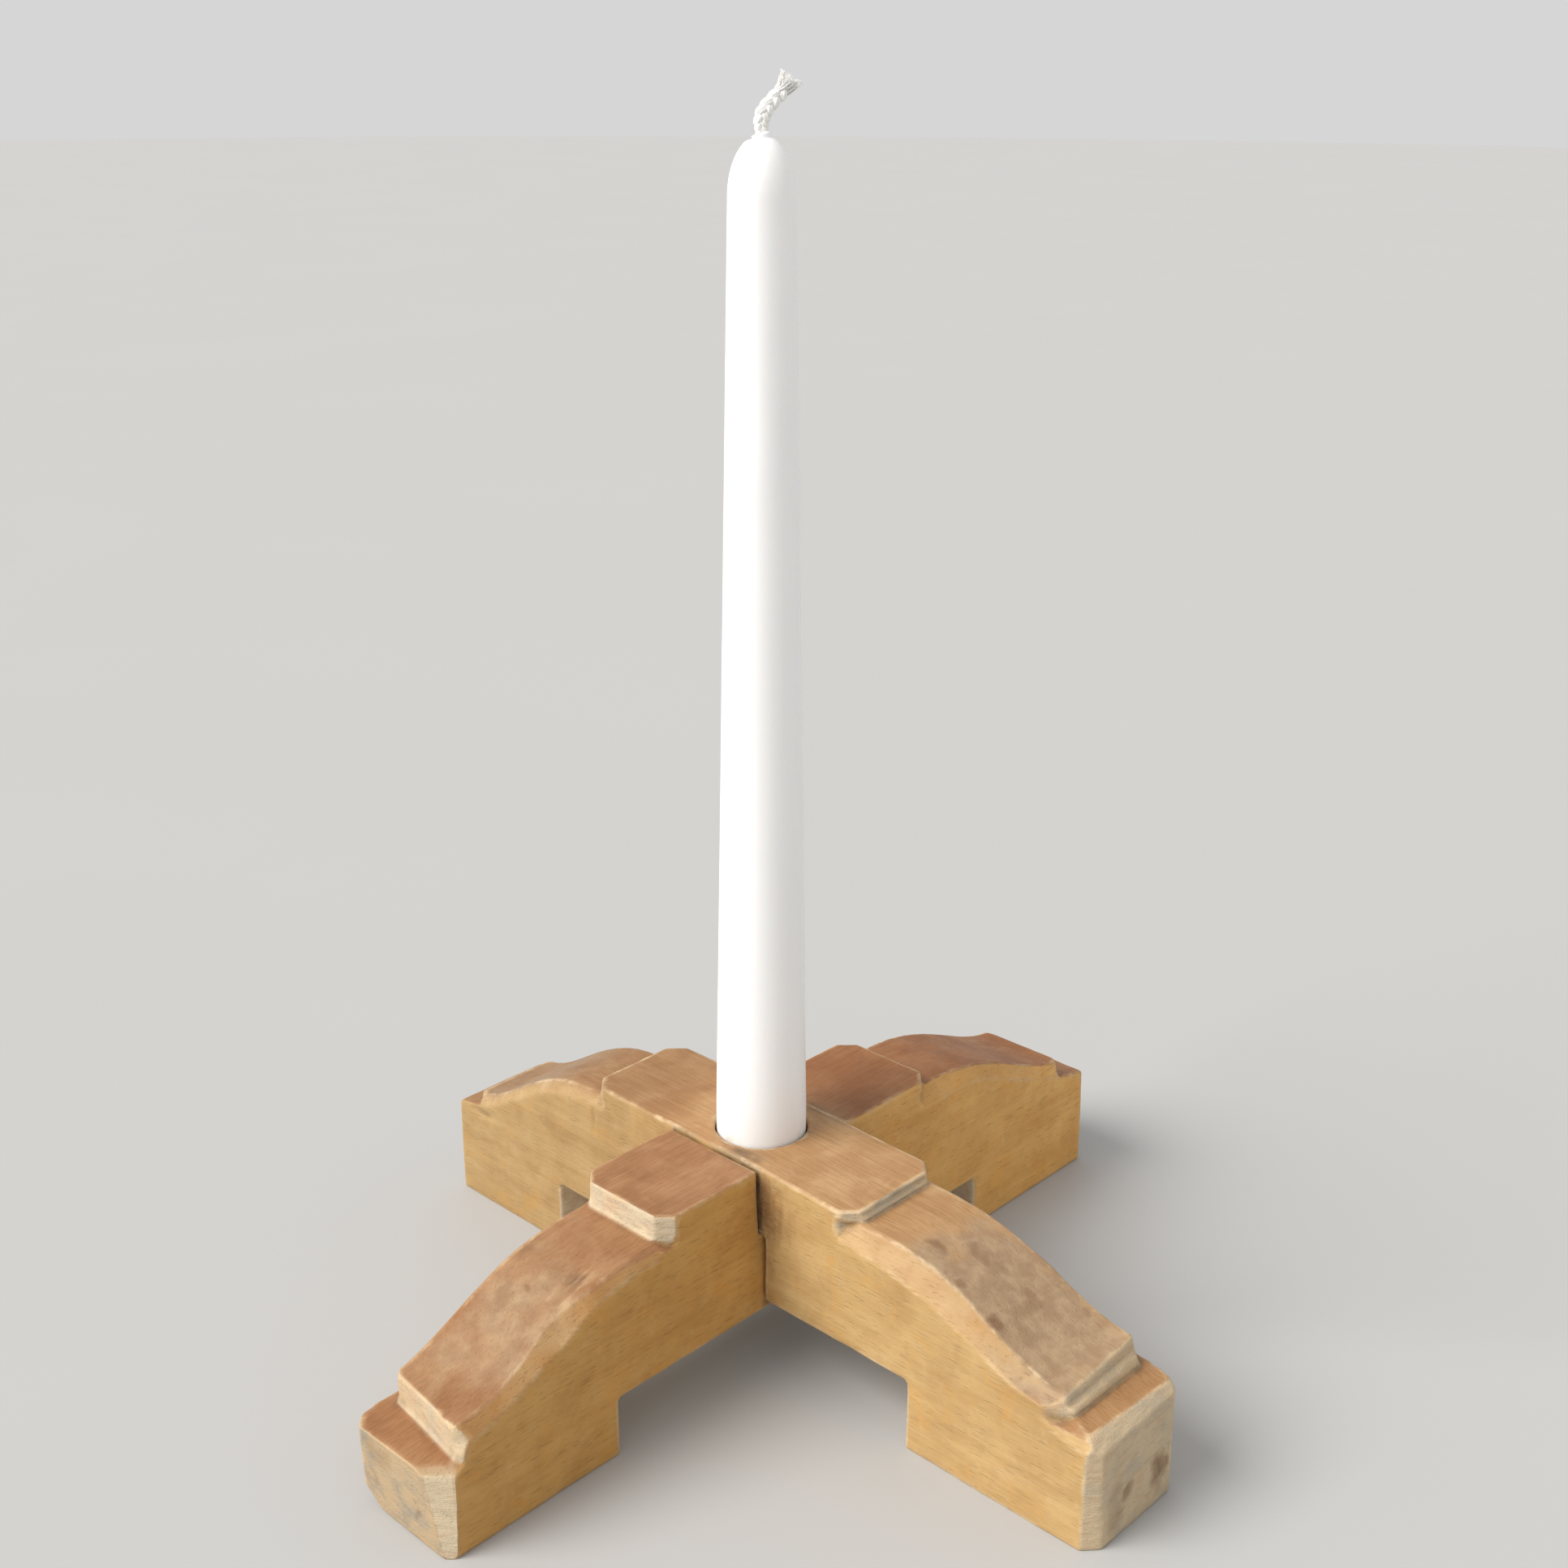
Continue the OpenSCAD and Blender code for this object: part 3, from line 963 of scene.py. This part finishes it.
def wax_material():
    """Dipped white wax: translucent, with faint streaks down its length."""
    s = Shade("white_wax")
    place = s.place()
    streak = s.noise(s.place((1, 1, 26)), 1.5, 3, 0.55)
    cloud = s.noise(place, 16, 3, 0.5)
    pits = s.noise(place, 0.8, 2, 0.6)
    colour = s.mix(s.span(cloud, 0.3, 0.7), (0.972, 0.968, 0.957), (0.990, 0.988, 0.980))
    colour = s.mix(s.times(s.span(streak, 0.45, 0.75), 0.25), colour, (0.92, 0.91, 0.885))
    colour = s.mix(s.times(s.mask("smudge"), 0.5), colour, (0.62, 0.55, 0.47))
    s.set("Base Color", colour)
    s.set("Roughness", s.span(cloud, 0.3, 0.7, 0.36, 0.48))
    relief = s.math("ADD", s.times(streak, 0.6), s.times(pits, 0.25))
    s.set("Normal", s.bump(relief, 0.05, 0.7))
    s.set("Subsurface Weight", 0.45)
    s.set("Subsurface Radius", (0.0050, 0.0042, 0.0034))
    s.set("Subsurface Scale", 1.0)
    s.set("Specular IOR Level", 0.45)
    return s.material


def cotton_material():
    """Braided cotton with fine yarns."""
    s = Shade("wick_cotton")
    fuzz = s.noise(s.place((1, 1, 4)), 0.22, 3, 0.6)
    cloud = s.noise(s.place(), 2.2, 2, 0.5)
    colour = s.mix(s.span(cloud, 0.3, 0.7), (0.90, 0.89, 0.85), (0.95, 0.945, 0.92))
    colour = s.mix(s.times(s.span(fuzz, 0.4, 0.7), 0.3), colour, (0.80, 0.78, 0.70))
    s.set("Base Color", colour)
    s.set("Normal", s.bump(fuzz, 0.09, 0.9))
    s.set("Roughness", s.span(fuzz, 0.3, 0.7, 0.8, 0.95))
    s.set("Sheen Weight", 0.35)
    s.set("Subsurface Weight", 0.15)
    s.set("Subsurface Radius", (0.0008, 0.0007, 0.0006))
    s.set("Subsurface Scale", 1.0)
    return s.material


# ---------- candle

DOME_H = 13.2  # height of the taper's rounded top
WAX_PLAY = 0.08  # the wax's uneven surface stays this far inside the CAD
WAX_SIDES = 112
WAX_RADIUS = 11  # at the foot
LEAN = math.radians(43)  # the way the wick leans, measured from +X
# the wax dips inside the neck, where the wick comes out: share of the rim's radius, drop
NECK_DIP = ((0.86, 0.10), (0.70, 0.45), (0.5, 0.9))


def wax_profile():
    """Heights and radii of the wax, read off the CAD node's own mesh."""
    points = points_of(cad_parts["candle_wax"].data)
    radius = np.hypot(*(points[:, :2] - AXIS).T)
    rings = {}
    for height, reach in zip(points[:, 2].round(2), radius):
        rings[height] = max(rings.get(height, 0), reach)
    heights = sorted(rings)
    return np.array(heights), np.array([rings[height] for height in heights])


def wax_rings():
    """Rings of points from the taper's base to its dome, with the neck that the last dip left."""
    heights, radii = wax_profile()
    low, high = heights[0], heights[-1]
    dome_foot = high - DOME_H
    levels = np.concatenate([
        [low, low + 0.15, low + 0.35, low + 0.6],
        np.linspace(low + 1.2, dome_foot - 1, 190),
        dome_foot + DOME_H * np.sin(np.linspace(0, math.pi / 2, 46)),
    ])
    turn = np.arange(WAX_SIDES) / WAX_SIDES * 2 * math.pi
    spokes = np.column_stack([np.cos(turn), np.sin(turn), np.zeros(WAX_SIDES)])
    rings = []
    for level in levels:
        probe = spokes * WAX_RADIUS + [0, 0, level]
        wobble = 0.05 * noise(probe, (9, 9, 60), 91) + 0.035 * noise(probe, (5, 5, 14), 92)
        # the neck is a soft collar, higher on one side
        collar = rise(level, high - 2.6, high - 0.4)
        wobble = wobble * (1 - collar) + collar * 0.12 * noise(probe, (7, 7, 1.5), 93)
        radius = np.interp(level, heights, radii) - WAX_PLAY
        ring = spokes * (radius + np.minimum(wobble, WAX_PLAY))[:, None]
        ring[:, 2] = level + collar * 0.45 * (np.cos(turn - LEAN) - 1)
        rings.append(ring + [*AXIS, 0])
    rim = rings[-1]
    for share, drop in NECK_DIP:
        inner = rim.copy()
        inner[:, :2] = AXIS + (rim[:, :2] - AXIS) * share
        inner[:, 2] -= drop
        rings.append(inner)
    return rings


def ring_faces(rings, sides, start=0):
    """Faces between neighbouring rings of points."""
    faces = []
    for ring in range(rings - 1):
        low = start + ring * sides
        for side in range(sides):
            after = (side + 1) % sides
            faces.append((low + side, low + after, low + sides + after, low + sides + side))
    return faces


def candle_wax():
    """The closed taper: rings, a flat foot and a small hollow around the wick."""
    rings = wax_rings()
    low, high = WAX_LOW[2], WAX_HIGH[2]
    points = np.concatenate(rings + [[[*AXIS, low]], [[*AXIS, high - 1.7]]])
    faces = ring_faces(len(rings), WAX_SIDES)
    foot = len(rings) * WAX_SIDES
    last = foot - WAX_SIDES
    for side in range(WAX_SIDES):
        after = (side + 1) % WAX_SIDES
        faces.append((foot, after, side))
        faces.append((foot + 1, last + side, last + after))
    mesh = mesh_from("candle_wax_taper", points, faces)
    smudge = rise(rough_noise(points, 3, 95), 0.0, 0.7)
    smudge = smudge * (1 - rise(points[:, 2], TOP_H + 0.2, TOP_H + 2.2))
    set_mask(mesh, "smudge", smudge)
    mesh.materials.append(wax_material())
    return new_piece("candle_wax_taper", mesh, "candle", "wax", "candle_wax")


# The free end of the wick, as in the CAD: sideways offset, height above the wax, radius
WICK_ROUTE = np.array([
    [0, -1.4, 1.2], [0, 0, 1.25], [-0.2, 1.2, 1.4], [0.1, 2.7, 1.6], [1, 4.3, 1.55],
    [2.5, 5.9, 1.45], [4, 7.4, 1.5], [5.2, 8.9, 2.1], [6.2, 10.6, 3],
])
WICK_OUT = np.array([math.cos(LEAN), math.sin(LEAN), 0])
WICK_BACK = np.array([-math.sin(LEAN), math.cos(LEAN), 0])
STRANDS = 3
PLAIT_END = 0.80  # part of the route where the plait ends
PLAIT_TURNS = 17  # radians that a strand turns along the whole route
LOOSE_FIBRES = 220
FIBRE_RADIUS = 0.125


def smooth_route():
    """Parts from 0 to 1 and the wick's route at them, with its corners rounded."""
    fine = np.linspace(0, 1, 161)
    steps = np.linspace(0, 1, len(WICK_ROUTE))
    route = np.column_stack([np.interp(fine, steps, column) for column in WICK_ROUTE.T])
    for _ in range(60):
        route[1:-1] = (route[:-2] + 2 * route[1:-1] + route[2:]) / 4
    return fine, route


ROUTE_PARTS, ROUTE_SPOTS = smooth_route()


def on_route(part):
    return np.array([np.interp(part, ROUTE_PARTS, column) for column in ROUTE_SPOTS.T])


def wick_line(part):
    """Middle, sideways direction and radius of the wick at a part from 0 to 1 of its route."""
    across, height, radius = on_route(part)
    ahead = on_route(min(part + 0.02, 1))
    behind = on_route(max(part - 0.02, 0))
    tangent = unit([ahead[0] - behind[0], ahead[1] - behind[1]])
    middle = np.array([*AXIS, WAX_HIGH[2]]) + WICK_OUT * across + np.array([0, 0, height])
    sideways = WICK_OUT * tangent[1] - np.array([0, 0, tangent[0]])
    return middle, sideways, radius


def tube(line, radii, sides, points, faces, ridges=0, twist=0.0):
    """Add a closed tube along a line of points; ridges make it a yarn of several plies."""
    line = np.array(line)
    start = len(points)
    for place, (middle, radius) in enumerate(zip(line, radii)):
        ahead = line[min(place + 1, len(line) - 1)]
        behind = line[max(place - 1, 0)]
        forward = unit(ahead - behind)
        across = unit(np.cross(forward, WICK_BACK + [0.01, 0.02, 0.03]))
        third = np.cross(forward, across)
        for side in range(sides):
            angle = side / sides * 2 * math.pi
            swell = 1 + (0.10 * math.cos(ridges * angle + twist * place) if ridges else 0)
            spoke = across * math.cos(angle) + third * math.sin(angle)
            points.append(middle + spoke * radius * swell)
    faces.extend(ring_faces(len(line), sides, start))
    last = start + (len(line) - 1) * sides
    faces.append(tuple(start + side for side in reversed(range(sides))))
    faces.append(tuple(last + side for side in range(sides)))


def plaited_strand(strand):
    """Line and radii of one strand of the plait."""
    line, radii = [], []
    for part in np.linspace(0, PLAIT_END, 110):
        middle, sideways, radius = wick_line(part)
        turn = part * PLAIT_TURNS + strand * 2 * math.pi / STRANDS
        weave = middle + sideways * 0.50 * radius * math.sin(turn)
        line.append(weave + WICK_BACK * 0.42 * radius * math.sin(2 * turn))
        radii.append(0.60 * radius * (1 - 0.25 * rise(part, 0.7, PLAIT_END)))
    return line, radii


def loose_fibre(random, end, thick):
    """Line and radii of one fibre that fans out past the end of a strand."""
    angle = random.uniform(0, 2 * math.pi)
    spread = random.uniform(0, 1) ** 0.35
    length = random.uniform(0.86, 1.0)
    curl = random.normal(0, 0.22, 3)
    start = PLAIT_END - random.uniform(0.03, 0.10)
    _, first_side, _ = wick_line(start)
    plait_middle, _, _ = wick_line(PLAIT_END)
    around = first_side * math.cos(angle) + WICK_BACK * math.sin(angle)
    offset = (end - plait_middle) + thick * 0.7 * around
    line, radii = [], []
    for step in np.linspace(0, 1, 9):
        middle, sideways, radius = wick_line(start + (length - start) * step)
        opened = step ** 0.7
        fan = sideways * math.cos(angle) * radius * 1.05 * spread
        fan = fan + WICK_BACK * math.sin(angle) * radius * 0.80 * spread
        spot = middle + offset * (1 - opened) + fan * opened
        line.append(spot + curl * math.sin(step * math.pi) * 0.8)
        radii.append(FIBRE_RADIUS * (1 - 0.5 * step))
    return line, radii


def candle_wick():
    """Three plaited strands that open into loose fibres at the tip."""
    random = np.random.default_rng(7)
    points, faces, ends = [], [], []
    for strand in range(STRANDS):
        line, radii = plaited_strand(strand)
        tube(line, radii, 28, points, faces, ridges=7, twist=0.30)
        ends.append((line[-1], radii[-1]))
    for fibre in range(LOOSE_FIBRES):
        line, radii = loose_fibre(random, *ends[fibre % STRANDS])
        tube(line, radii, 5, points, faces)
    low, high = box_mm("candle_wick")
    mesh = mesh_from("wick_braid", np.clip(np.array(points), low, high), faces)
    mesh.materials.append(cotton_material())
    return new_piece("wick_braid", mesh, "candle", "cotton", "candle_wick")


# ---------- stage, lights and camera

FLOOR_RINGS = [0.25, 0.6, 1.4, 3.0, 6.0]  # metres
FLOOR_SIDES = 96
SKY_STRENGTH = 0.69
KEY_ENERGY = 3.45
KEY_WIDTH = 38  # degrees across, which makes its shadows soft
KEY_FROM = (-0.42, -0.85, 0.85)
CAMERA_PLACE = (295.96, -316.14, 305.06)
CAMERA_TURN = (43.14, 20.46, 0.26)  # degrees left of +Y, down, and rolled
LENS = 46.45


def floor_material():
    s = Shade("pale_floor")
    cloud = s.span(s.noise(s.place(), 180, 2, 0.5), 0.3, 0.7)
    s.set("Base Color", s.mix(cloud, (0.464, 0.461, 0.455), (0.469, 0.466, 0.460)))
    s.set("Roughness", 0.75)
    s.set("Specular IOR Level", 0.25)
    return s.material


def stage_floor():
    """A plain pale table top that runs far past the view."""
    points = [(0, 0, 0)]
    for ring in FLOOR_RINGS:
        for step in range(FLOOR_SIDES):
            angle = step / FLOOR_SIDES * 2 * math.pi
            points.append((ring * math.cos(angle), ring * math.sin(angle), 0))
    faces = [(0, 1 + step, 1 + (step + 1) % FLOOR_SIDES) for step in range(FLOOR_SIDES)]
    for face in ring_faces(len(FLOOR_RINGS), FLOOR_SIDES, 1):
        faces.append((face[0], face[3], face[2], face[1]))
    mesh = bpy.data.meshes.new("floor")
    mesh.from_pydata(points, [], faces)
    mesh.materials.append(floor_material())
    floor = bpy.data.objects.new("floor", mesh)
    bpy.context.collection.objects.link(floor)


def studio():
    """Even pale surroundings and one large soft light from the front left."""
    world = bpy.data.worlds.new("studio")
    bpy.context.scene.world = world
    world.use_nodes = True
    sky = world.node_tree.nodes["Background"]
    sky.inputs["Color"].default_value = (0.975, 0.975, 0.975, 1)
    sky.inputs["Strength"].default_value = SKY_STRENGTH
    light = bpy.data.lights.new("key", "SUN")
    light.energy = KEY_ENERGY
    light.angle = math.radians(KEY_WIDTH)
    light.color = (1.0, 0.98, 0.95)
    lamp = bpy.data.objects.new("key", light)
    bpy.context.collection.objects.link(lamp)
    lamp.rotation_euler = Vector(KEY_FROM).to_track_quat("Z", "Y").to_euler()
    bpy.context.scene.view_settings.view_transform = "Standard"


def camera():
    """A camera at the photograph's place: in front of the crossing, looking down a little."""
    yaw, pitch, roll = (math.radians(angle) for angle in CAMERA_TURN)
    flat = math.cos(pitch)
    ahead = Vector((-math.sin(yaw) * flat, math.cos(yaw) * flat, -math.sin(pitch)))
    level = ahead.cross(Vector((0, 0, 1))).normalized()
    upright = level.cross(ahead)
    right = level * math.cos(roll) + upright * math.sin(roll)
    up = upright * math.cos(roll) - level * math.sin(roll)
    lens = bpy.data.cameras.new("camera")
    lens.lens = LENS
    lens.sensor_width = 36
    lens.clip_start = 0.01
    lens.clip_end = 50
    shot = bpy.data.objects.new("camera", lens)
    bpy.context.collection.objects.link(shot)
    turn = Matrix((right, up, -ahead)).transposed().to_4x4()
    shot.matrix_world = Matrix.Translation(Vector(CAMERA_PLACE) * MM) @ turn
    bpy.context.scene.camera = shot


# ---------- build

UPPER_TIMBER = Timber(
    along=0, side=(0.64, 0.43, 0.19), dark_side=(0.43, 0.25, 0.09), top=(0.50, 0.305, 0.145),
    worn=(0.420, 0.288, 0.165), edge=(0.76, 0.58, 0.36), pores=0.10)
LOWER_TIMBER = Timber(
    along=1, side=(0.57, 0.33, 0.100), dark_side=(0.42, 0.205, 0.050), top=(0.40, 0.215, 0.100),
    worn=(0.410, 0.275, 0.150), edge=(0.64, 0.45, 0.25), pores=0.26)
# the front right arm is wider than the upper beam's CAD box, but inside the whole model's
WIDENING = np.array([0, 2, 0])

camera()
stage_floor()
studio()
carved_beam(
    "upper_beam", ("front_right", "back_left"), UPPER_LOW - WIDENING, UPPER_HIGH + WIDENING,
    "wood_upper", UPPER_TIMBER)
carved_beam(
    "lower_beam", ("front_left", "back_right"), LOWER_LOW, LOWER_HIGH,
    "wood_lower", LOWER_TIMBER)
candle_wax()
candle_wick()
